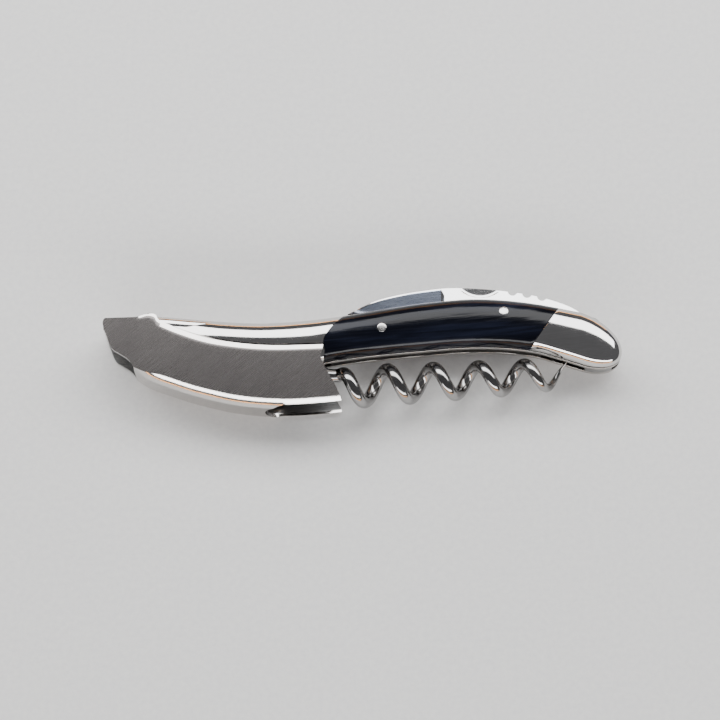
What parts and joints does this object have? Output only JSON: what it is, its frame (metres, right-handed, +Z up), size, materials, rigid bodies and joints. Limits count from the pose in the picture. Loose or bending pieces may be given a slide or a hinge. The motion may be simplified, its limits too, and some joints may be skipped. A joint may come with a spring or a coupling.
{
  "type": "waiters corkscrew",
  "caption": "Curved knife-style waiter's corkscrew with a folding lever, a folding worm and a folding foil-cutter blade, dark scales and polished steel bolsters.",
  "frame": {"origin": "on the surface the closed corkscrew lies on, under the middle of its bounding box", "axes": "+X along the handle towards the rear bolster, +Y towards the blade's spine, +Z up through the left scale"},
  "size_m": [0.135, 0.0338, 0.0144],
  "materials": {
    "steel_liner": "fine satin, polished rims",
    "bolster_steel": "mirror polished stainless steel",
    "dark_horn": "glossy navy-black horn, polished and waxed",
    "spring_steel": "satin",
    "pin_steel": "polished flush",
    "lever_steel": "satin brushed with polished bevels",
    "worm_steel": "polished wire",
    "blade_steel": "ground faces, polished ricasso",
    "washer_brass": "plain"
  },
  "bodies": {
    "handle": {"liner_left": "steel_liner", "liner_right": "steel_liner", "front_bolster_left": "bolster_steel", "front_bolster_right": "bolster_steel", "scale_left": "dark_horn", "scale_right": "dark_horn", "rear_bolster_left": "bolster_steel", "rear_bolster_right": "bolster_steel", "back_spring": "spring_steel", "head_spacer": "spring_steel", "rear_spacer": "spring_steel", "scale_pin_front": "pin_steel", "scale_pin_rear": "pin_steel", "head_pin": "pin_steel", "blade_stop_pin": "pin_steel", "lever_pivot_pin": "pin_steel", "worm_pivot_pin": "pin_steel", "blade_pivot_pin": "pin_steel", "lever_washer_left": "washer_brass", "lever_washer_right": "washer_brass", "blade_washer_left": "washer_brass", "blade_washer_right": "washer_brass"},
    "lever": {"lever": "lever_steel"},
    "worm": {"worm_hub": "worm_steel", "worm": "worm_steel"},
    "blade": {"blade": "blade_steel"}
  },
  "joints": [
    {"name": "lever_swing", "type": "hinge", "parent": "handle", "child": "lever", "pos_m": [-0.0535, 0.0022, 0.0072], "axis": [0, 0, -1], "range_deg": [0, 95]},
    {"name": "worm_swing", "type": "hinge", "parent": "handle", "child": "worm", "pos_m": [-0.0136, -0.0049, 0.0072], "axis": [0, 0, -1], "range_deg": [0, 90]},
    {"name": "blade_swing", "type": "hinge", "parent": "handle", "child": "blade", "pos_m": [0.059, 0.0047, 0.0072], "axis": [0, 0, -1], "range_deg": [0, 170]}
  ]
}
